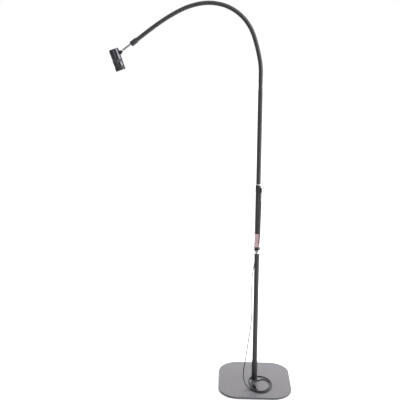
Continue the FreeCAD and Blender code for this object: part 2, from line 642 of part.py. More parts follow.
# The route: out of the strain relief, round the front of the post, down beside it, a wide turn
# on the plate that passes behind the foot, and a second one inside the first to the plug.
CORD_ROUTE = [
    (exit_x, exit_y, exit_height),
    (9.9, -8.8, 702),
    (9.2, -10.2, 665),
    (8.4, -12.0, 632),
    (7.4, -14.4, 602),
    (5.0, -16.0, 572),
    (0.3, -17.2, 543),
    (-8.5, -18.0, 503),
    (-16.0, -17.0, 452),
    (-18.2, -16.5, 398),
    (-16.5, -17.5, 343),
    (-15.0, -19.0, 290),
    (-18.5, -21.0, 238),
    (-26.0, -24.5, 188),
    (-32.5, -30.0, 138),
    (-40.0, -38.0, 92),
    (-46.0, -47.0, 52),
    (-40.0, -59.0, 22),
    (-22.0, -79.0, cord_lay),
    (-2.0, -98.0, cord_lay),
    (21.0, -107.0, cord_lay),
    (44.0, -98.5, cord_lay),
    (60.5, -75.5, cord_lay),
    (67.0, -44.0, cord_lay),
    (61.0, -12.5, cord_lay),
    (45.0, 10.5, cord_lay),
    (23.0, 19.5, cord_lay),
    (1.0, 19.0, cord_lay),
    (-15.0, 10.0, cord_lay),
    (-21.0, -8.0, cord_lay),
    (-20.5, -36.0, cord_lay),
    (-17.5, -64.0, cord_lay),
    (-4.0, -86.0, cord_lay),
    (16.0, -97.5, cord_lay),
    (38.0, -91.5, cord_lay),
    (54.0, -70.0, cord_lay),
    (60.0, -43.0, cord_lay),
    (54.0, -16.5, cord_lay),
    (36.0, -1.0, cord_lay),
    (15.0, -13.5, cord_lay),
    (-5.0, -23.5, cord_lay),
    (-12.0, -32.5, cord_lay + 1.0),
    (-13.0, -43.0, plug_lay),
    (-8.0, -52.0, plug_lay)]
BEND_SHARE = 0.45           # an arc takes this share of the shorter of its two runs


def cord_tube(points, radius):
    """Straight runs joined by tangent arcs, as large as each pair of runs allows."""
    corners = [V(*point) for point in points]
    edges = []
    bends = []
    last = corners[0]
    for before, corner, after in zip(corners, corners[1:], corners[2:]):
        inward = corner - before
        outward = after - corner
        cut = BEND_SHARE * min(inward.Length, outward.Length)
        half_turn = inward.getAngle(outward) / 2
        inward.normalize()
        outward.normalize()
        bends.append(cut / math.tan(half_turn))
        bisector = (outward - inward).normalize()
        middle = corner + bisector * (bends[-1] / math.cos(half_turn) - bends[-1])
        first = corner - inward * cut
        second = corner + outward * cut
        edges.append(Part.LineSegment(last, first).toShape())
        edges.append(Part.Arc(first, middle, second).toShape())
        last = second
    edges.append(Part.LineSegment(last, corners[-1]).toShape())
    path = Part.Wire(edges)
    start = Part.makeCircle(radius, corners[0], corners[1] - corners[0])
    return path.makePipe(Part.Face(Part.Wire(start))).Solids[0], path.Length, bends


boot_root = LUG_RADIUS - BOOT_STEP
boot = turned([
    (cord_radius, 0),
    (cord_radius + BOOT_TIP, 0),
    (boot_root, BOOT_LENGTH - BOOT_ROOT),
    (boot_root, BOOT_LENGTH),
    (cord_radius, BOOT_LENGTH)])
pieces["cord_boot"] = placed(boot, frame_at(V(exit_x, exit_y, exit_height), V(0, 0, 1), V(1, 0, 0)))

cord, cord_length, cord_bends = cord_tube(CORD_ROUTE, cord_radius)
pieces["supply_cord"] = cord

plug_start = V(*CORD_ROUTE[-1])
plug_place = frame_at(plug_start, plug_start - V(*CORD_ROUTE[-2]), V(0, 0, 1))
plug_face = PLUG_TAPER + PLUG_LENGTH
plug = turned([
    (0, 0),
    (cord_radius + BOOT_TIP, 0),
    (PLUG_RADIUS - PLUG_SHOULDER, PLUG_TAPER),
    (PLUG_RADIUS, PLUG_TAPER + PLUG_SHOULDER_LENGTH),
    (PLUG_RADIUS, plug_face - PLUG_CHAMFER),
    (PLUG_RADIUS - PLUG_CHAMFER, plug_face),
    (0, plug_face)])
pieces["plug_body"] = placed(plug, plug_place)
barrel = rod(BARREL_RADIUS, plug_face, plug_face + BARREL_LENGTH)
barrel = barrel.cut(rod(BARREL_BORE, plug_face + BARREL_FLOOR, plug_face + BARREL_LENGTH + CUT_PAST))
pieces["plug_barrel"] = placed(barrel, plug_place)

# === Write every piece, and print what the cord measures ======================================
for name, shape in pieces.items():
    shape.exportStep("parts/%s.step" % name)

filled = cord.Volume / (math.pi * cord_radius ** 2 * cord_length)
print("cord length %.1f mm, volume / (section x length) %.4f" % (cord_length, filled))
print("cord radii, mm: " + " ".join("%.0f" % bend for bend in cord_bends))
print("smallest cord radius %.1f mm, %.1f diameters" % (min(cord_bends), min(cord_bends) / CORD_DIAMETER))
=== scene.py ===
import bpy
import json
import math
from mathutils import Matrix, Vector


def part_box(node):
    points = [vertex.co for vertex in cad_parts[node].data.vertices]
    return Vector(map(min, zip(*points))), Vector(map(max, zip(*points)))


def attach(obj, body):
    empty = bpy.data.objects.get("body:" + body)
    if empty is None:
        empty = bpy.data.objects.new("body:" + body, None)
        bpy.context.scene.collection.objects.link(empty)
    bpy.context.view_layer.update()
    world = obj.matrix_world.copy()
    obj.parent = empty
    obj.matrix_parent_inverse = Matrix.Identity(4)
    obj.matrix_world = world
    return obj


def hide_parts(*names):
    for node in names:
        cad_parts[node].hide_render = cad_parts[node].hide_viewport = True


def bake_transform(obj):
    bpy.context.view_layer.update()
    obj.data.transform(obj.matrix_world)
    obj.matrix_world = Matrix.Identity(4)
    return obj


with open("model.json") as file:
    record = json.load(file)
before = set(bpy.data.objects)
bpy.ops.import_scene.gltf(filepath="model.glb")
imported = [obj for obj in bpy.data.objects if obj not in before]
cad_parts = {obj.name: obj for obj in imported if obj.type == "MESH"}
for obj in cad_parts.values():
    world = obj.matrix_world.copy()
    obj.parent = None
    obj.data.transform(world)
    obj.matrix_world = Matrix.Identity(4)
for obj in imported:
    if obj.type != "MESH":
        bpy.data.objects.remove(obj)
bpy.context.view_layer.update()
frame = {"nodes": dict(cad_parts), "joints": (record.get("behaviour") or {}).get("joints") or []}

MM = 0.001

# === Camera ===================================================================================
# The photograph looks down on the lamp from the height of its arm, a little over two metres
# away, through a lens long enough to keep the post nearly upright.
CAMERA_PLACE = (-0.0958, -2.2416, 1.2508)
CAMERA_DOWN = 13.0          # degrees below the horizon
CAMERA_TURN = 3.045         # degrees from +Y towards -X
CAMERA_LENS = 55.8          # mm, on a sensor 36 mm wide

bpy.ops.object.camera_add(
    location=CAMERA_PLACE,
    rotation=(math.radians(90 - CAMERA_DOWN), 0, math.radians(CAMERA_TURN)))
camera = bpy.context.object
camera.data.sensor_width = 36
camera.data.lens = CAMERA_LENS
bpy.context.scene.camera = camera

# === Supply cord ==============================================================================
# A thin round lead in a black flexible PVC jacket, extruded over its conductors in one run.  It
# leaves the strain relief, hangs in front of the post and lies in two turns on the plate.
CORD_DIAMETER = 3.5 * MM
PLUG_RADIUS = 5.0 * MM
PLATE_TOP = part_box("base_plate")[1].z
CORD_LAY = PLATE_TOP + CORD_DIAMETER / 2      # height of the cord's middle on the plate
PLUG_LAY = PLATE_TOP + PLUG_RADIUS            # and of the plug's

# Where the cord runs, in metres, from the strain relief to the plug.
CORD_ROUTE = [
    (0.01010, -0.00818, 0.7330),
    (0.0099, -0.0088, 0.7020),
    (0.0092, -0.0102, 0.6650),
    (0.0084, -0.0120, 0.6320),
    (0.0074, -0.0144, 0.6020),
    (0.0050, -0.0160, 0.5720),
    (0.0003, -0.0172, 0.5430),
    (-0.0085, -0.0180, 0.5030),
    (-0.0160, -0.0170, 0.4520),
    (-0.0182, -0.0165, 0.3980),
    (-0.0165, -0.0175, 0.3430),
    (-0.0150, -0.0190, 0.2900),
    (-0.0185, -0.0210, 0.2380),
    (-0.0260, -0.0245, 0.1880),
    (-0.0325, -0.0300, 0.1380),
    (-0.0400, -0.0380, 0.0920),
    (-0.0460, -0.0470, 0.0520),
    (-0.0400, -0.0590, 0.0220),
    (-0.0220, -0.0790, CORD_LAY),
    (-0.0020, -0.0980, CORD_LAY),
    (0.0210, -0.1070, CORD_LAY),
    (0.0440, -0.0985, CORD_LAY),
    (0.0605, -0.0755, CORD_LAY),
    (0.0670, -0.0440, CORD_LAY),
    (0.0610, -0.0125, CORD_LAY),
    (0.0450, 0.0105, CORD_LAY),
    (0.0230, 0.0195, CORD_LAY),
    (0.0010, 0.0190, CORD_LAY),
    (-0.0150, 0.0100, CORD_LAY),
    (-0.0210, -0.0080, CORD_LAY),
    (-0.0205, -0.0360, CORD_LAY),
    (-0.0175, -0.0640, CORD_LAY),
    (-0.0040, -0.0860, CORD_LAY),
    (0.0160, -0.0975, CORD_LAY),
    (0.0380, -0.0915, CORD_LAY),
    (0.0540, -0.0700, CORD_LAY),
    (0.0600, -0.0430, CORD_LAY),
    (0.0540, -0.0165, CORD_LAY),
    (0.0360, -0.0010, CORD_LAY),
    (0.0150, -0.0135, CORD_LAY),
    (-0.0050, -0.0235, CORD_LAY),
    (-0.0120, -0.0325, CORD_LAY + 1.0 * MM),
    (-0.0130, -0.0430, PLUG_LAY),
    (-0.0080, -0.0520, PLUG_LAY)]


def linear(colour):
    """An sRGB hex colour as the linear red, green, blue and alpha that a shader takes."""
    parts = [int(colour[k:k + 2], 16) / 255 for k in (1, 3, 5)]
    return tuple(c / 12.92 if c <= 0.04045 else ((c + 0.055) / 1.055) ** 2.4 for c in parts) + (1.0,)


def add(material, kind, inputs=None, **settings):
    """Adds one node with its settings; an input is a constant, or a socket that it is linked to."""
    made = material.node_tree.nodes.new(kind)
    for name, value in settings.items():
        setattr(made, name, value)
    for name, value in (inputs or {}).items():
        if isinstance(value, bpy.types.NodeSocket):
            material.node_tree.links.new(value, made.inputs[name])
        else:
            made.inputs[name].default_value = value
    return made


def feed(material, socket, output):
    """Links one of a material's outputs into its shader."""
    shader = material.node_tree.nodes["Principled BSDF"]
    material.node_tree.links.new(output, shader.inputs[socket])


def surface(name, colours, patch, rough, grain, depth, **constants):
    """A finish that drifts between two colours and two roughnesses, over a fine relief.

    patch is the size of a patch of colour, grain that of the relief and depth how deep it is,
    all in millimetres.  The constants are sockets of the shader that hold all over it.
    """
    made = bpy.data.materials.new(name)
    made.use_nodes = True
    for socket, value in constants.items():
        made.node_tree.nodes["Principled BSDF"].inputs[socket.replace("_", " ")].default_value = value
    where = add(made, "ShaderNodeTexCoord").outputs["Object"]
    drift = add(made, "ShaderNodeTexNoise", {"Vector": where, "Scale": 1 / (patch * MM), "Detail": 4.0})
    tint = add(made, "ShaderNodeMix", data_type="RGBA")
    made.node_tree.links.new(drift.outputs["Fac"], tint.inputs["Factor"])
    tint.inputs[6].default_value = linear(colours[0])
    tint.inputs[7].default_value = linear(colours[1])
    feed(made, "Base Color", tint.outputs[2])
    gloss = add(made, "ShaderNodeMapRange", {"Value": drift.outputs["Fac"], "From Min": 0.3,
                                             "From Max": 0.7, "To Min": rough[0], "To Max": rough[1]})
    feed(made, "Roughness", gloss.outputs["Result"])
    speck = add(made, "ShaderNodeTexNoise", {"Vector": where, "Scale": 1 / (grain * MM), "Detail": 2.0})
    relief = add(made, "ShaderNodeBump", {"Height": speck.outputs["Fac"], "Distance": depth * MM})
    feed(made, "Normal", relief.outputs["Normal"])
    return made


# Plasticised PVC, extruded or moulded: a soft satin gloss, faintly uneven.
soft_pvc = surface("extruded_pvc", ("#1A191C", "#262529"), patch=15, rough=(0.50, 0.62),
                   grain=0.8, depth=0.02, IOR=1.53, Specular_IOR_Level=0.3)

lead_line = bpy.data.curves.new("supply_lead", "CURVE")
lead_line.dimensions = "3D"
spline = lead_line.splines.new("NURBS")
spline.points.add(len(CORD_ROUTE) - 1)
for point, place in zip(spline.points, CORD_ROUTE):
    point.co = (*place, 1.0)
spline.order_u = 3
spline.use_endpoint_u = True
spline.resolution_u = 8
lead_line.bevel_depth = CORD_DIAMETER / 2
lead_line.bevel_resolution = 4
lead_line.use_fill_caps = True
lead_line.materials.append(soft_pvc)
supply_lead = bpy.data.objects.new("supply_lead", lead_line)
bpy.context.scene.collection.objects.link(supply_lead)
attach(supply_lead, "stand")
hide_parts("supply_cord")

# === Strain relief ============================================================================
# A tapered PVC sleeve moulded onto the lead, with grooves that let it bend.  Its root is pushed
# up into the collar's lug.
BOOT_TIP = 2.3 * MM
BOOT_RIBS = 6
BOOT_GROOVE = 0.45 * MM
WELD = 0.001 * MM           # corners closer than this are one
BEVEL_ANGLE = 28            # degrees above which an edge is softened
SMOOTH_ANGLE = 35           # and above which its shading stays sharp


def deselect():
    """Leaves edit mode, with nothing selected."""
    if bpy.context.object and bpy.context.object.mode == "EDIT":
        bpy.ops.object.mode_set(mode="OBJECT")
    bpy.ops.object.select_all(action="DESELECT")


def take(piece):
    """One piece alone is selected and active."""
    deselect()
    piece.select_set(True)
    bpy.context.view_layer.objects.active = piece


def edit(piece):
    """Edit mode on one piece alone, with all of it selected."""
    take(piece)
    bpy.ops.object.mode_set(mode="EDIT")
    bpy.ops.mesh.select_mode(type="VERT")
    bpy.ops.mesh.select_all(action="SELECT")


def apply(piece, kind, **settings):
    """Adds one modifier to a piece and applies it."""
    take(piece)
    bpy.ops.object.modifier_add(type=kind)
    for name, value in settings.items():
        setattr(piece.modifiers[-1], name, value)
    bpy.ops.object.modifier_apply(modifier=piece.modifiers[-1].name)


def outlined(name, corners):
    """A chain of edges through corners (x, y, z), drawn by extruding one vertex."""
    deselect()
    bpy.ops.mesh.primitive_plane_add(size=MM)
    piece = bpy.context.object
    piece.name = name
    edit(piece)
    bpy.ops.mesh.merge(type="CENTER")
    bpy.ops.transform.translate(value=corners[0])
    for before, corner in zip(corners, corners[1:]):
        step = [b - a for a, b in zip(before, corner)]
        bpy.ops.mesh.extrude_vertices_move(TRANSFORM_OT_translate={"value": step})
    bpy.ops.mesh.select_all(action="SELECT")
    bpy.ops.mesh.remove_doubles(threshold=WELD)
    return piece


def turned(name, profile, steps=96):
    """A turned piece: its closed outline of (radius, height) corners, spun about Z."""
    piece = outlined(name, [(radius, 0, height) for radius, height in profile + profile[:1]])
    bpy.ops.mesh.spin(steps=steps, angle=math.radians(360), center=(0, 0, 0), axis=(0, 0, 1))
    bpy.ops.mesh.select_all(action="SELECT")
    bpy.ops.mesh.remove_doubles(threshold=WELD)
    bpy.ops.mesh.normals_make_consistent(inside=False)
    deselect()
    return piece


def finished(piece, material, place=Matrix(), edge=0.0):
    """Softens a piece's edges, smooths its shading, and sets it in its place and finish."""
    if edge:
        apply(piece, "BEVEL", width=edge, segments=3, limit_method="ANGLE",
              angle_limit=math.radians(BEVEL_ANGLE))
    take(piece)
    piece.matrix_world = place
    bpy.ops.object.transform_apply(location=True, rotation=True, scale=True)
    bpy.ops.object.shade_smooth_by_angle(angle=math.radians(SMOOTH_ANGLE))
    piece.data.materials.clear()
    piece.data.materials.append(material)
    return piece


def fitted(piece, body, slot, *nodes):
    """The piece rides on a body and stands for solids of the frame, which are hidden; slot is not used."""
    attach(piece, body)
    if nodes:
        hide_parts(*nodes)


def measured(node, place=Matrix()):
    """How low and high a solid reaches along a place's Z, and its largest radius round it."""
    inverse = place.inverted()
    points = [inverse @ vertex.co for vertex in frame["nodes"][node].data.vertices]
    heights = [point.z for point in points]
    return min(heights), max(heights), max(math.hypot(point.x, point.y) for point in points)


boot_place = Matrix.Translation(CORD_ROUTE[0])
low, high, root = measured("cord_boot", boot_place)
profile = [(CORD_DIAMETER / 2, low), (BOOT_TIP, low)]
for k in range(BOOT_RIBS):
    for share, cut in ((0.30, 0), (0.42, BOOT_GROOVE), (0.72, BOOT_GROOVE), (0.84, 0)):
        along = (k + share) / (BOOT_RIBS + 1)
        profile.append((BOOT_TIP + (root - BOOT_TIP) * along - cut, low + (high - low) * along))
profile += [(root, low + (high - low) * 0.9), (root, high), (CORD_DIAMETER / 2, high)]

# The same PVC, coloured pale grey all over, as light as the boot looks on its lit side.
pale_boot_tone = surface("pale_boot_tone_pvc", ("#828184", "#959497"), patch=8, rough=(0.45, 0.58),
                   grain=0.8, depth=0.02, IOR=1.53)
boot = finished(turned("strain_relief", profile, steps=40), pale_boot_tone, boot_place, edge=0.12 * MM)
fitted(boot, "stand", "cord_jacket", "cord_boot")

# === Plug =====================================================================================
# A round low-voltage plug: a PVC grip with finger grooves, moulded onto the lead's end, and a
# nickel-plated brass barrel pressed into it.
GRIP_TAPER = 6.0 * MM
GRIP_SHOULDER = 0.8 * MM
GRIP_CHAMFER = 1.0 * MM
GRIP_GROOVE = 0.4 * MM
GRIP_GROOVES = 5
GRIP_PITCH = 2.6 * MM

plug_start = Vector(CORD_ROUTE[-1])
plug_along = (plug_start - Vector(CORD_ROUTE[-2])).normalized()
plug_place = Matrix.Translation(plug_start) @ plug_along.to_track_quat("Z", "Y").to_matrix().to_4x4()
low, high, radius = measured("plug_body", plug_place)
profile = [
    (0, low), (BOOT_TIP, low),
    (radius - GRIP_SHOULDER, GRIP_TAPER), (radius, GRIP_TAPER + 1.5 * MM)]
for k in range(GRIP_GROOVES):
    start = GRIP_TAPER + 3 * MM + k * GRIP_PITCH
    for ahead, cut in ((0.0, 0), (0.3, GRIP_GROOVE), (1.3, GRIP_GROOVE), (1.6, 0)):
        profile.append((radius - cut, start + ahead * MM))
profile += [(radius, high - GRIP_CHAMFER), (radius - GRIP_CHAMFER, high), (0, high)]
plug = finished(turned("plug_grip", profile, steps=48), soft_pvc, plug_place, edge=0.15 * MM)
fitted(plug, "stand", "cord_jacket", "plug_body")


def dress(material, *names):
    """Gives solids that are carried over from the frame their finish."""
    for name in names:
        solid = frame["nodes"][name]
        solid.data.materials.clear()
        solid.data.materials.append(material)


# Nickel over turned brass: bright, a little warm, with faint turning marks.
nickel = surface("nickel_plated_brass", ("#C2BDB0", "#D6D2C6"), patch=3, rough=(0.18, 0.3),
                 grain=0.4, depth=0.01, Metallic=1.0)
dress(nickel, "plug_barrel")

# === Studio ===================================================================================
# A white sweep under four soft boxes: a tall one on the right that draws the bright band along
# the head, a large one above, a weak one beside the camera, and a low one behind that lightens
# the plate's top.
FLOOR_SIDE = 60.0
FLOOR_COLOUR = "#F2F2F3"
GLOW_START = 0.5            # metres from the post where the sweep begins to burn out to white
GLOW_END = 4.0              # and where it is all white
GLOW_LEAST = 0.2            # how far it is burnt out inside GLOW_START
ROOM_LIGHT = 0.30           # what the room gives back, against the white that the camera sees

bpy.context.scene.view_settings.view_transform = "Standard"
deselect()
bpy.ops.mesh.primitive_plane_add(size=FLOOR_SIDE)
floor = bpy.context.object
floor.name = "studio_floor"
paper = surface("matt_paper_sweep", (FLOOR_COLOUR, FLOOR_COLOUR), patch=200, rough=(0.85, 0.95),
                grain=2, depth=0.01, Specular_IOR_Level=0.1)
where = add(paper, "ShaderNodeTexCoord").outputs["Object"]
distance = add(paper, "ShaderNodeVectorMath", {0: where}, operation="LENGTH")
glow = add(paper, "ShaderNodeMapRange", {"Value": distance.outputs["Value"], "From Min": GLOW_START,
                                         "From Max": GLOW_END, "To Min": GLOW_LEAST, "To Max": 1.0})
camera_ray = add(paper, "ShaderNodeLightPath").outputs["Is Camera Ray"]
shown = add(paper, "ShaderNodeMath", {0: glow.outputs["Result"], 1: camera_ray}, operation="MULTIPLY")
feed(paper, "Emission Strength", shown.outputs["Value"])
paper.node_tree.nodes["Principled BSDF"].inputs["Emission Color"].default_value = (1, 1, 1, 1)
floor.data.materials.append(paper)

room = bpy.data.worlds.new("studio_room")
bpy.context.scene.world = room
room.use_nodes = True
seen = add(room, "ShaderNodeBackground", {"Color": (1, 1, 1, 1), "Strength": 1.0})
felt = add(room, "ShaderNodeBackground", {"Color": (1, 1, 1, 1), "Strength": ROOM_LIGHT})
ray = add(room, "ShaderNodeLightPath")
both = add(room, "ShaderNodeMixShader", {0: ray.outputs["Is Camera Ray"]})
room.node_tree.links.new(felt.outputs[0], both.inputs[1])
room.node_tree.links.new(seen.outputs[0], both.inputs[2])
room.node_tree.links.new(both.outputs[0], room.node_tree.nodes["World Output"].inputs["Surface"])


def soft_box(name, width, height, place, target, strength):
    """A rectangular soft box that faces a point and isn't seen itself; strength is per square metre."""
    bpy.ops.object.light_add(type="AREA", location=place)
    box = bpy.context.object
    box.name = name
    box.data.shape = "RECTANGLE"
    box.data.size = width
    box.data.size_y = height
    box.data.energy = strength * width * height
    box.rotation_euler = (Vector(target) - Vector(place)).to_track_quat("-Z", "Y").to_euler()
    box.visible_camera = False


soft_box("right_box", 1.9, 2.8, (1.45, -0.10, 1.30), (-0.3, 0.0, 1.1), 13.0)
soft_box("top_box", 3.0, 3.0, (-0.2, -0.6, 3.2), (-0.2, 0.0, 0.5), 6.0)
soft_box("camera_box", 1.2, 2.0, (-0.9, -3.0, 1.6), (-0.3, 0.0, 1.0), 2.2)
soft_box("back_box", 2.8, 0.9, (0.0, 1.3, 0.70), (0.0, 0.0, 0.0), 10.2)

# === Base plate ===============================================================================
# Sheet steel, laser cut with large round corners and rounded over along its top edge, then
# powder coated.  The coat is dark, and its flat top looks grey where it reflects the sweep.
powder_coat = surface("powder_coated_steel", ("#4C494F", "#565358"), patch=30, rough=(0.40, 0.46),
                      grain=1.2, depth=0.04, IOR=1.5)
dress(powder_coat, "base_plate")

# === Pad, washer and bolt =====================================================================
# Under the plate: a pad of closed-cell foam glued on, and in a recess that it covers the washer
# and the socket-head bolt that hold the post, both zinc plated.
foam = surface("closed_cell_foam", ("#151516", "#29292B"), patch=6, rough=(0.85, 0.95),
               grain=1.0, depth=0.3)
zinc = surface("zinc_plated_steel", ("#AEB0B4", "#C9C8C2"), patch=4, rough=(0.28, 0.42),
               grain=0.8, depth=0.01, Metallic=1.0)
dress(foam, "base_pad")
dress(zinc, "base_washer", "base_bolt")

# === Foot socket ==============================================================================
# A black moulded socket that the post stands in, with a low skirt, and a groove below its
# chamfered rim.  A threaded insert in the tube's end takes the bolt.
SKIRT_HEIGHT = 4.0 * MM
SKIRT_STEP = 0.5 * MM
SOCKET_WALL = 2.2 * MM
RIM_CHAMFER = 0.8 * MM
RIM_GROOVE = 0.3 * MM

# Glass-filled ABS with a spark-eroded texture: near black, and too rough for sharp reflections.
moulded_abs = surface("moulded_abs", ("#19181B", "#242326"), patch=20, rough=(0.40, 0.52),
                      grain=0.9, depth=0.02, IOR=1.53)
low, high, radius = measured("foot_socket")
bore = radius - SOCKET_WALL
side = radius - SKIRT_STEP
socket = finished(turned("post_socket", [
    (bore, low),
    (radius, low),
    (radius, low + SKIRT_HEIGHT),
    (side, low + SKIRT_HEIGHT + SKIRT_STEP),
    (side, high - 3.2 * MM),
    (side - RIM_GROOVE, high - 2.9 * MM),
    (side - RIM_GROOVE, high - 2.3 * MM),
    (side, high - 2.0 * MM),
    (side, high - RIM_CHAMFER),
    (side - RIM_CHAMFER, high),
    (bore, high)]), moulded_abs, edge=0.25 * MM)
fitted(socket, "stand", "moulded_foot", "foot_socket")
dress(zinc, "foot_insert")

# === Tubes of the post ========================================================================
# Three drawn steel tubes in black satin enamel.  Spigots join them, and a turned ferrule
# tapers from the upper one to the neck.

# Baked enamel: dark and satin, with a faint ripple.
enamel = surface("satin_enamel", ("#353335", "#413F41"), patch=60, rough=(0.52, 0.60),
                 grain=2.5, depth=0.02, IOR=1.5, Specular_IOR_Level=0.3)
dress(enamel, "lower_tube", "middle_tube", "upper_tube", "neck_ferrule")
dress(zinc, "coupler_spigot", "collar_spigot")
dress(soft_pvc, "pole_lead")

# === Rings between lower and middle tube ======================================================
# A bright plated ring and a dark moulded one, both slid onto the spigot before the tubes meet.
# The dark one is grooved for a grip.
RING_EDGE = 0.35 * MM
RING_CHAMFER = 0.5 * MM
RING_WALL = 2.0 * MM
GRIP_RING_GROOVES = 4
GRIP_RING_GROOVE = 0.3 * MM

# Chromium over polished steel: a mirror, bluish against the black.
chrome = surface("chromium_plated_steel", ("#CFD0D4", "#E2E3E6"), patch=25, rough=(0.05, 0.11),
                 grain=6, depth=0.004, Metallic=1.0)
low, high, radius = measured("chrome_ring")
bore = radius - RING_WALL
bright_ring = finished(turned("bright_ring", [
    (bore, low), (radius - RING_CHAMFER, low), (radius, low + RING_CHAMFER),
    (radius, high - RING_CHAMFER), (radius - RING_CHAMFER, high), (bore, high)]), chrome, edge=RING_EDGE)
fitted(bright_ring, "stand", "bright_chrome", "chrome_ring")

low, high, radius = measured("dark_ring")
profile = [(bore, low), (radius - RING_CHAMFER, low), (radius, low + RING_CHAMFER)]
for k in range(GRIP_RING_GROOVES):
    start = low + (high - low) * (k + 0.8) / (GRIP_RING_GROOVES + 1)
    for ahead, cut in ((0.0, 0), (0.2, GRIP_RING_GROOVE), (0.8, GRIP_RING_GROOVE), (1.0, 0)):
        profile.append((radius - cut, start + ahead * MM))
profile += [(radius, high - RING_CHAMFER), (radius - RING_CHAMFER, high), (bore, high)]
grip_ring = finished(turned("grip_ring", profile), moulded_abs, edge=0.1 * MM)
fitted(grip_ring, "stand", "dark_ring_plastic", "dark_ring")

# === Collar and bright ring above it ==========================================================
# A black moulded collar over the joint of middle and upper tube, with a lug that the cord comes
# out of, and a thin plated ring that closes its upper end.
COLLAR_EDGE = 0.35 * MM
CLOSING_WALL = 1.2 * MM
CLOSING_CHAMFER = 0.6 * MM


def remade(name, node, material, edge):
    """A solid's own shape with its triangles joined and its edges softened."""
    piece = bpy.data.objects.new(name, frame["nodes"][node].data.copy())
    bpy.context.scene.collection.objects.link(piece)
    edit(piece)
    bpy.ops.mesh.remove_doubles(threshold=WELD)
    bpy.ops.mesh.dissolve_limited(angle_limit=math.radians(0.6))
    deselect()
    return finished(piece, material, edge=edge)


collar = remade("cord_collar_shell", "cord_collar", moulded_abs, COLLAR_EDGE)
fitted(collar, "stand", "collar_plastic", "cord_collar")
low, high, radius = measured("silver_ring")
closing_ring = finished(turned("closing_ring", [
    (radius - CLOSING_WALL, low), (radius, low), (radius, high - CLOSING_CHAMFER),
    (radius - CLOSING_CHAMFER, high), (radius - CLOSING_WALL, high)]), chrome, edge=RING_EDGE)
fitted(closing_ring, "stand", "bright_chrome", "silver_ring")

# === Film wrapped round the middle tube =======================================================
# A strip of thin, pale rose film wound once and a bit round the post above the rings.  It is
# blank, creased, and stands loose of the tube where its end overlaps.
FILM_LOW = 0.5555
FILM_HEIGHT = 52.0 * MM
FILM_START = 9.9 * MM
FILM_GROWTH = 1.3 * MM      # what the spiral gains over its one and a bit turns
FILM_TURN = 415             # degrees
FILM_SEAM = -70             # where it starts, in degrees from +X
FILM_FACES = 84
FILM_ROWS = 30
FILM_THICKNESS = 0.15 * MM
FILM_SLACK = 0.12 * MM      # how far its rows sway sideways
FILM_SWAY = 5.1             # radians of that wave over its height

corners = []
for k in range(FILM_FACES + 1):
    angle = math.radians(FILM_TURN * k / FILM_FACES + FILM_SEAM)
    radius = FILM_START + FILM_GROWTH * k / FILM_FACES
    corners.append((radius * math.cos(angle), radius * math.sin(angle), FILM_LOW))
film = outlined("blank_film", corners)
for row in range(FILM_ROWS):
    sway = FILM_SLACK * math.sin(FILM_SWAY * row / FILM_ROWS)
    bpy.ops.mesh.extrude_region_move(
        TRANSFORM_OT_translate={"value": (sway, -sway, FILM_HEIGHT / FILM_ROWS)})
deselect()
for kind, size, strength in (("VORONOI", 16 * MM, 0.9 * MM), ("CLOUDS", 7 * MM, 0.5 * MM)):
    folds = bpy.data.textures.new("film_folds", kind)
    folds.noise_scale = size
    apply(film, "DISPLACE", texture=folds, texture_coords="LOCAL", strength=strength, mid_level=0.3)
apply(film, "SUBSURF", levels=1, render_levels=1)
apply(film, "SOLIDIFY", thickness=FILM_THICKNESS, offset=0)

# Polyethylene film: pale, a little see-through, with a soft pearly gloss on its creases.
film_finish = surface("polyethylene_film", ("#DFBAC0", "#F0D7DA"), patch=14, rough=(0.28, 0.42),
                      grain=1.5, depth=0.05, IOR=1.51, Transmission_Weight=0.25)
finished(film, film_finish)
fitted(film, "stand", "enamelled_tube")

# === Gooseneck ================================================================================
# Two steel wires wound tightly over each other, the outer one as a close helix whose ribs show,
# blackened and oiled.  It bends anywhere along its length and holds by friction.
RIB_PITCH = 1.95 * MM
RIB_DEPTH = 0.24 * MM
RIB_POINTS = 6
RIB_STEPS = 32
RIB_SHARPNESS = 3           # the higher, the narrower the groove between two ribs
joints = {joint["name"]: joint for joint in frame["joints"]}
pivots = [joint for joint in frame["joints"] if joint["name"].startswith("neck_")]

# Blackened steel: a grey sheen on the ribs, dark in the grooves between them.
black_steel = surface("blackened_spring_steel", ("#363538", "#454447"), patch=12, rough=(0.38, 0.5),
                      grain=1.0, depth=0.02, Metallic=0.6)
neck_radius = measured("neck_winding_0")[2]
neck_foot = Vector((0, 0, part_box("neck_winding_0")[0].z))
neck_end = Vector(joints["stem_swivel"]["pos_m"])
knots = [neck_foot] + [Vector(joint["pos_m"]) for joint in pivots] + [neck_end]


def heading(along):
    """The direction of a step in the neck's plane, as an angle from +X towards +Z."""
    return math.atan2(along.z, along.x) % math.radians(360)


# Each stretch is an arc that sets off as the one before it arrived; the last one runs straight
# into its sleeve.
chords = [after - before for before, after in zip(knots, knots[1:])]
headings = [heading(chords[0])]
for chord in chords:
    headings.append(2 * heading(chord) - headings[-1])
headings[-1] = heading(chords[-1])
turns = [after - before for before, after in zip(headings, headings[1:])]
neck_line = bpy.data.curves.new("neck_line", "CURVE")
neck_line.dimensions = "3D"
neck_line.resolution_u = 40
neck_line.twist_mode = "MINIMUM"
neck_spline = neck_line.splines.new("BEZIER")
neck_spline.bezier_points.add(len(knots) - 1)
reached = [0.0]
for k, (chord, turn) in enumerate(zip(chords, turns)):
    half = turn / 2
    reached.append(reached[-1] + chord.length * (half / math.sin(half) if abs(half) > 1e-6 else 1.0))
for k, (point, knot, angle) in enumerate(zip(neck_spline.bezier_points, knots, headings)):
    along = Vector((math.cos(angle), 0, math.sin(angle)))
    before, after = max(k - 1, 0), min(k, len(chords) - 1)
    point.co = knot
    point.handle_left = knot - along * chords[before].length / (3 * math.cos(turns[before] / 4) ** 2)
    point.handle_right = knot + along * chords[after].length / (3 * math.cos(turns[after] / 4) ** 2)
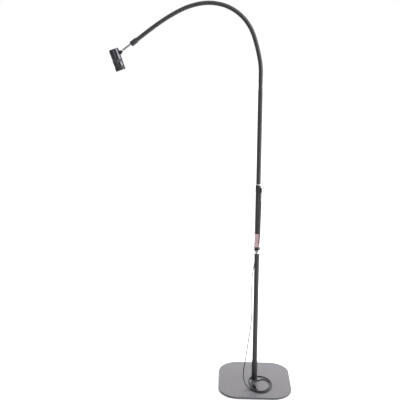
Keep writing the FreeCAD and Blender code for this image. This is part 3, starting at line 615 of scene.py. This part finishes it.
neck_way = bpy.data.objects.new("neck_way", neck_line)
bpy.context.scene.collection.objects.link(neck_way)

corners = []
for k in range(RIB_POINTS + 1):
    share = k / RIB_POINTS
    groove = (0.5 + 0.5 * math.cos(2 * math.pi * share)) ** RIB_SHARPNESS
    corners.append((neck_radius - RIB_DEPTH * groove, 0, (share - 1) * RIB_PITCH))
helix = outlined("winding", corners)
apply(helix, "SCREW", screw_offset=RIB_PITCH, iterations=math.ceil(reached[-1] / RIB_PITCH) + 2,
      steps=RIB_STEPS, render_steps=RIB_STEPS, use_merge_vertices=True, merge_threshold=WELD)
edit(helix)
bpy.ops.mesh.remove_doubles(threshold=WELD)
bpy.ops.mesh.normals_make_consistent(inside=False)
deselect()

# One piece for each pivot, cut half way to the next one.
cuts = [0.0] + [(a + b) / 2 for a, b in zip(reached[1:-2], reached[2:-1])] + [reached[-1]]
for k, pivot in enumerate(pivots):
    stretch = helix.copy()
    stretch.data = helix.data.copy()
    stretch.name = "outer_winding_%d" % (k + 1)
    bpy.context.scene.collection.objects.link(stretch)
    edit(stretch)
    bpy.ops.mesh.bisect(plane_co=(0, 0, cuts[k]), plane_no=(0, 0, 1), use_fill=True, clear_inner=True)
    bpy.ops.mesh.select_all(action="SELECT")
    bpy.ops.mesh.bisect(plane_co=(0, 0, cuts[k + 1]), plane_no=(0, 0, 1), use_fill=True, clear_outer=True)
    bpy.ops.mesh.select_all(action="SELECT")
    bpy.ops.mesh.normals_make_consistent(inside=False)
    deselect()
    apply(stretch, "CURVE", object=neck_way, deform_axis="POS_Z")
    finished(stretch, black_steel)
    along = Vector((math.cos(headings[k + 1]), 0, math.sin(headings[k + 1])))
    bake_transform(stretch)
    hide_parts("neck_winding_%d" % (k + 1), *(["neck_winding_0"] if k == 0 else []))
bpy.data.objects.remove(helix)
bpy.data.objects.remove(neck_way)

# The inner winding of bright spring wire, which gives the neck its hold.
spring_steel = surface("drawn_spring_steel", ("#8A898C", "#A09FA2"), patch=5, rough=(0.3, 0.42),
                       grain=0.8, depth=0.02, Metallic=1.0)
dress(spring_steel, *["neck_core_%d" % k for k in range(len(knots) - 1)])

# === Sleeve and stem ==========================================================================
# A steel sleeve crimped over the neck's end and blackened like it.  The plated stem turns in it,
# and its flattened end carries the tilt screw.
SLEEVE_ROUND = 0.6 * MM
CRIMP_DEPTH = 0.4 * MM
CRIMPS = (3.0 * MM, 6.5 * MM)
SLEEVE_CHAMFER = 1.5 * MM
SLEEVE_SHOULDER = 5.6 * MM  # beyond the neck's end, where the bore narrows to the stem's
STEM_BORE = 5.1 * MM        # its radius


def frame_at(origin, along):
    """A place in the lamp's plane of symmetry, whose Z runs along."""
    z_axis = Vector(along).normalized()
    x_axis = Vector((-z_axis.z, 0, z_axis.x))
    y_axis = z_axis.cross(x_axis)
    return Matrix.Translation(origin) @ Matrix((x_axis, y_axis, z_axis)).transposed().to_4x4()


stem_place = frame_at(knots[-1], joints["stem_swivel"]["axis"])
low, high, radius = measured("neck_end_sleeve", stem_place)
profile = [(neck_radius, low), (radius - SLEEVE_CHAMFER, low), (radius, low + SLEEVE_CHAMFER)]
for start in CRIMPS:
    for ahead, cut in ((0.0, 0), (0.5, CRIMP_DEPTH), (1.3, CRIMP_DEPTH), (1.8, 0)):
        profile.append((radius - cut, low + start + ahead * MM))
profile += [(radius, high - SLEEVE_CHAMFER), (radius - SLEEVE_CHAMFER, high), (STEM_BORE, high),
            (STEM_BORE, SLEEVE_SHOULDER), (neck_radius, SLEEVE_SHOULDER)]
sleeve = finished(turned("crimped_sleeve", profile), black_steel, stem_place, edge=SLEEVE_ROUND)
fitted(sleeve, "neck_9", "gooseneck_steel", "neck_end_sleeve")
stem = remade("swivel_stem", "stem", chrome, 0.25 * MM)
fitted(stem, "stem", "bright_chrome", "stem")

# === Head: rear and front shell ===============================================================
# Two short aluminium tubes, turned, polished and dyed black.  The rear one has a window milled
# in its side for the bracket.
SHELL_EDGE = 0.3 * MM
SHELL_WALL = 2.2 * MM

# Polished black anodising: deep and glossy, with the faintest turning marks.
black_anodised = surface("black_anodised_aluminium", ("#5A595E", "#66656A"), patch=8, rough=(0.12, 0.2),
                         grain=3, depth=0.004, Metallic=1.0)
head_along = Vector(joints["button_press"]["axis"]).normalized()
on_axis = sum(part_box("front_shell"), Vector()) / 2
rear_low = measured("rear_cap", frame_at(on_axis, head_along))[0]
head_place = frame_at(on_axis + head_along * rear_low, head_along)
rear = remade("rear_casing", "rear_shell", black_anodised, SHELL_EDGE)
fitted(rear, "head", "head_gloss", "rear_shell")
low, high, shell_radius = measured("front_shell", head_place)
shell_bore = shell_radius - SHELL_WALL
front = finished(turned("front_casing", [
    (shell_bore, low), (shell_radius, low), (shell_radius, high), (shell_bore, high)]),
    black_anodised, head_place, edge=SHELL_EDGE)
fitted(front, "head", "head_gloss", "front_shell")

# === Head: rear cap and push button ===========================================================
# The cap is turned and dyed like the shells, with a dished recess for the finger.  The moulded
# button stands in it, slightly hollow on top, with a raised ring to feel for.
BUTTON_RING = 2.6 * MM
BUTTON_ROOM = 0.3 * MM
FLANGE_REACH = 1.3 * MM
FLANGE_THICKNESS = 1.2 * MM
RECESS_DEPTH = 1.5 * MM
RECESS_FLAT = 1.8 * MM
CAP_RIM = 3.0 * MM
CAP_CHAMFER = 0.8 * MM
CAP_FLOOR = 4.0 * MM
SPIGOT_WALL = 1.3 * MM      # of what reaches into the shells

low, high, radius = measured("rear_cap", head_place)
button_low, button_high, flange = measured("switch_button", head_place)
button_radius = flange - FLANGE_REACH
hole = button_radius + BUTTON_ROOM
cap = finished(turned("rear_end_cap", [
    (hole, RECESS_DEPTH), (hole + RECESS_FLAT, RECESS_DEPTH), (hole + RECESS_FLAT + RECESS_DEPTH, 0),
    (radius - CAP_CHAMFER, 0), (radius, CAP_CHAMFER), (radius, CAP_RIM), (shell_bore, CAP_RIM),
    (shell_bore, high), (shell_bore - SPIGOT_WALL, high), (shell_bore - SPIGOT_WALL, CAP_FLOOR),
    (hole, CAP_FLOOR)]), black_anodised, head_place, edge=0.25 * MM)
fitted(cap, "head", "head_gloss", "rear_cap")
button = finished(turned("push_button", [
    (0, button_low + 0.5 * MM), (BUTTON_RING - 0.4 * MM, button_low + 0.35 * MM),
    (BUTTON_RING, button_low + 0.1 * MM), (BUTTON_RING + 0.4 * MM, button_low + 0.3 * MM),
    (button_radius - 1.0 * MM, button_low), (button_radius, button_low + 0.7 * MM),
    (button_radius, button_high - FLANGE_THICKNESS), (flange, button_high - FLANGE_THICKNESS),
    (flange, button_high), (0, button_high)]), moulded_abs, head_place, edge=0.15 * MM)
fitted(button, "button", "switch_plastic", "switch_button")

# === Head: ring between the shells and bezel ==================================================
# A zinc casting, bead blasted and painted matt grey, with a fine straight knurl.  The bezel is
# moulded in matt black, and its notched rim snaps in the lens.
RING_SPIGOT = 4.0 * MM      # what goes into each shell
RING_ROUND = 0.6 * MM
KNURLS = 90
KNURL_DEPTH = 0.25 * MM
KNURL_MARGIN = 1.8 * MM
NOTCHES = 24
NOTCH_DEPTH = 0.5 * MM
NOTCH_LOW = 5.2 * MM        # the notched band, below the bezel's face
NOTCH_HIGH = 1.2 * MM
BEZEL_MOUTH = 12.8 * MM     # its radius
BEZEL_LIP = 2.4 * MM
LENS_FLANGE = 3.0 * MM      # thickness of the lens's rim, behind the lip
FIT_ROOM = 0.1 * MM         # between pieces that fit into each other
NEAR = 0.1 * MM             # how close to a band a face is taken as its own


def pick(piece, chosen):
    """Edit mode on one piece, with the faces selected that a rule chooses by their place."""
    edit(piece)
    bpy.ops.mesh.select_mode(type="FACE")
    bpy.ops.mesh.select_all(action="DESELECT")
    bpy.ops.object.mode_set(mode="OBJECT")
    for face in piece.data.polygons:
        face.select = chosen(face)
    bpy.ops.object.mode_set(mode="EDIT")


def sector(face, count):
    """Which of count equal sectors round Z a face lies in."""
    return int(math.atan2(face.center.y, face.center.x) / math.radians(360) * count) % count


def on_band(face, height, radius):
    """Whether a face lies outside on a turned piece, at a height."""
    return (abs(face.center.z - height) < NEAR
            and math.hypot(face.center.x, face.center.y) > radius - NEAR)


matt_paint = surface("bead_blasted_matt_paint", ("#434245", "#504F53"), patch=6, rough=(0.55, 0.68),
                     grain=0.6, depth=0.03, IOR=1.5)
low, high, radius = measured("mid_ring", head_place)
ring_low, ring_high = low + RING_SPIGOT, high - RING_SPIGOT
seat = shell_bore - FIT_ROOM
inside = shell_bore - SPIGOT_WALL
ring = turned("knurled_ring", [
    (inside, low), (seat, low), (seat, ring_low),
    (radius - RING_ROUND, ring_low), (radius, ring_low + RING_ROUND), (radius, ring_low + KNURL_MARGIN),
    (radius, ring_high - KNURL_MARGIN), (radius, ring_high - RING_ROUND), (radius - RING_ROUND, ring_high),
    (seat, ring_high), (seat, high), (inside, high)], steps=2 * KNURLS)
middle = (ring_low + ring_high) / 2
pick(ring, lambda face: on_band(face, middle, radius) and sector(face, 2 * KNURLS) % 2)
bpy.ops.mesh.inset(thickness=0.08 * MM, depth=-KNURL_DEPTH, use_individual=True)
deselect()
finished(ring, matt_paint, head_place)
fitted(ring, "head", "head_grey", "mid_ring")

matt_black = surface("matt_moulded_black", ("#29282B", "#353437"), patch=6, rough=(0.5, 0.62),
                     grain=0.6, depth=0.03, IOR=1.5)
low, high, radius = measured("bezel", head_place)
collar_low = measured("front_shell", head_place)[1]
lip_low = high - BEZEL_LIP
flange_low = lip_low - LENS_FLANGE
bezel = turned("notched_bezel", [
    (seat - SPIGOT_WALL, low), (seat, low), (seat, collar_low), (radius, collar_low),
    (radius, high - NOTCH_LOW), (radius, high - NOTCH_HIGH), (radius - NOTCH_HIGH, high),
    (BEZEL_MOUTH, high), (BEZEL_MOUTH, lip_low), (seat, lip_low), (seat, flange_low),
    (seat - SPIGOT_WALL, flange_low)], steps=4 * NOTCHES)
notch_middle = high - (NOTCH_LOW + NOTCH_HIGH) / 2
pick(bezel, lambda face: on_band(face, notch_middle, radius) and sector(face, 4 * NOTCHES) % 4 == 0)
bpy.ops.mesh.inset(thickness=0.12 * MM, depth=-NOTCH_DEPTH, use_individual=True)
deselect()
finished(bezel, matt_black, head_place)
fitted(bezel, "head", "bezel_black", "bezel")

# === Head: lens and light source ==============================================================
# A moulded polycarbonate lens, frosted inside, with shallow rings that spread the light.  Behind
# it are a plated reflector, the white board with its source, a cast heat sink and the switch.
LENS_RINGS = 7
LENS_RING_DEPTH = 0.12 * MM
DOME_SET_BACK = 0.4 * MM    # of the dome's rim behind the bezel's face

frosted = surface("frosted_polycarbonate", ("#E3DFE2", "#F3F0F2"), patch=5, rough=(0.35, 0.45),
                  grain=0.5, depth=0.02, IOR=1.585, Transmission_Weight=0.5)
low, high, flange = measured("lens", head_place)
dome_radius = BEZEL_MOUTH - FIT_ROOM
dome_low = measured("bezel", head_place)[1] - DOME_SET_BACK
flange_high = low + LENS_FLANGE
profile = [
    (0, low), (flange, low), (flange, flange_high), (dome_radius, flange_high), (dome_radius, dome_low)]
for k in range(3 * LENS_RINGS, 0, -1):
    share = k / (3 * LENS_RINGS + 1)
    groove = LENS_RING_DEPTH if k % 3 == 0 else 0
    profile.append((dome_radius * share, dome_low + (high - dome_low) * (1 - share ** 2) - groove))
profile.append((0, high))
lens = finished(turned("ringed_lens", profile), frosted, head_place)
fitted(lens, "head", "frosted_lens", "lens")

mirror = surface("aluminised_reflector", ("#DCDDE0", "#EAEBEC"), patch=10, rough=(0.06, 0.12),
                 grain=3, depth=0.01, Metallic=1.0)
solder_mask = surface("white_solder_mask", ("#DADBD5", "#E6E7E2"), patch=3, rough=(0.3, 0.4),
                      grain=0.8, depth=0.01, IOR=1.5)
phosphor = surface("phosphor_silicone", ("#DDB93C", "#EACB58"), patch=1, rough=(0.35, 0.5),
                   grain=0.4, depth=0.01, IOR=1.41)
cast_aluminium = surface("cast_aluminium", ("#A2A3A5", "#B6B7B8"), patch=4, rough=(0.45, 0.6),
                         grain=0.8, depth=0.05, Metallic=1.0)
nylon = surface("black_nylon", ("#232326", "#2E2E31"), patch=5, rough=(0.45, 0.55),
                grain=0.6, depth=0.01, IOR=1.53)
dress(mirror, "reflector")
dress(solder_mask, "led_board")
dress(phosphor, "led_emitter")
dress(cast_aluminium, "heat_sink")
dress(nylon, "switch_body")

# === Tilt bracket, screw and nut ==============================================================
# A small black casting that comes out of the rear shell's window and holds the stem's end
# between its two ears, with a slotted screw through them and a nut on the far side.
tilt_finish = surface("satin_black_casting", ("#1D1C1F", "#29282B"), patch=5, rough=(0.38, 0.5),
                      grain=0.7, depth=0.03, IOR=1.5)
bracket = remade("tilt_ears", "tilt_bracket", tilt_finish, 0.3 * MM)
fitted(bracket, "head", "bracket_black", "tilt_bracket")
screw = remade("slotted_screw", "tilt_screw", tilt_finish, 0.15 * MM)
fitted(screw, "head", "bracket_black", "tilt_screw")
nut = remade("locking_nut", "tilt_nut", tilt_finish, 0.25 * MM)
fitted(nut, "head", "bracket_black", "tilt_nut")
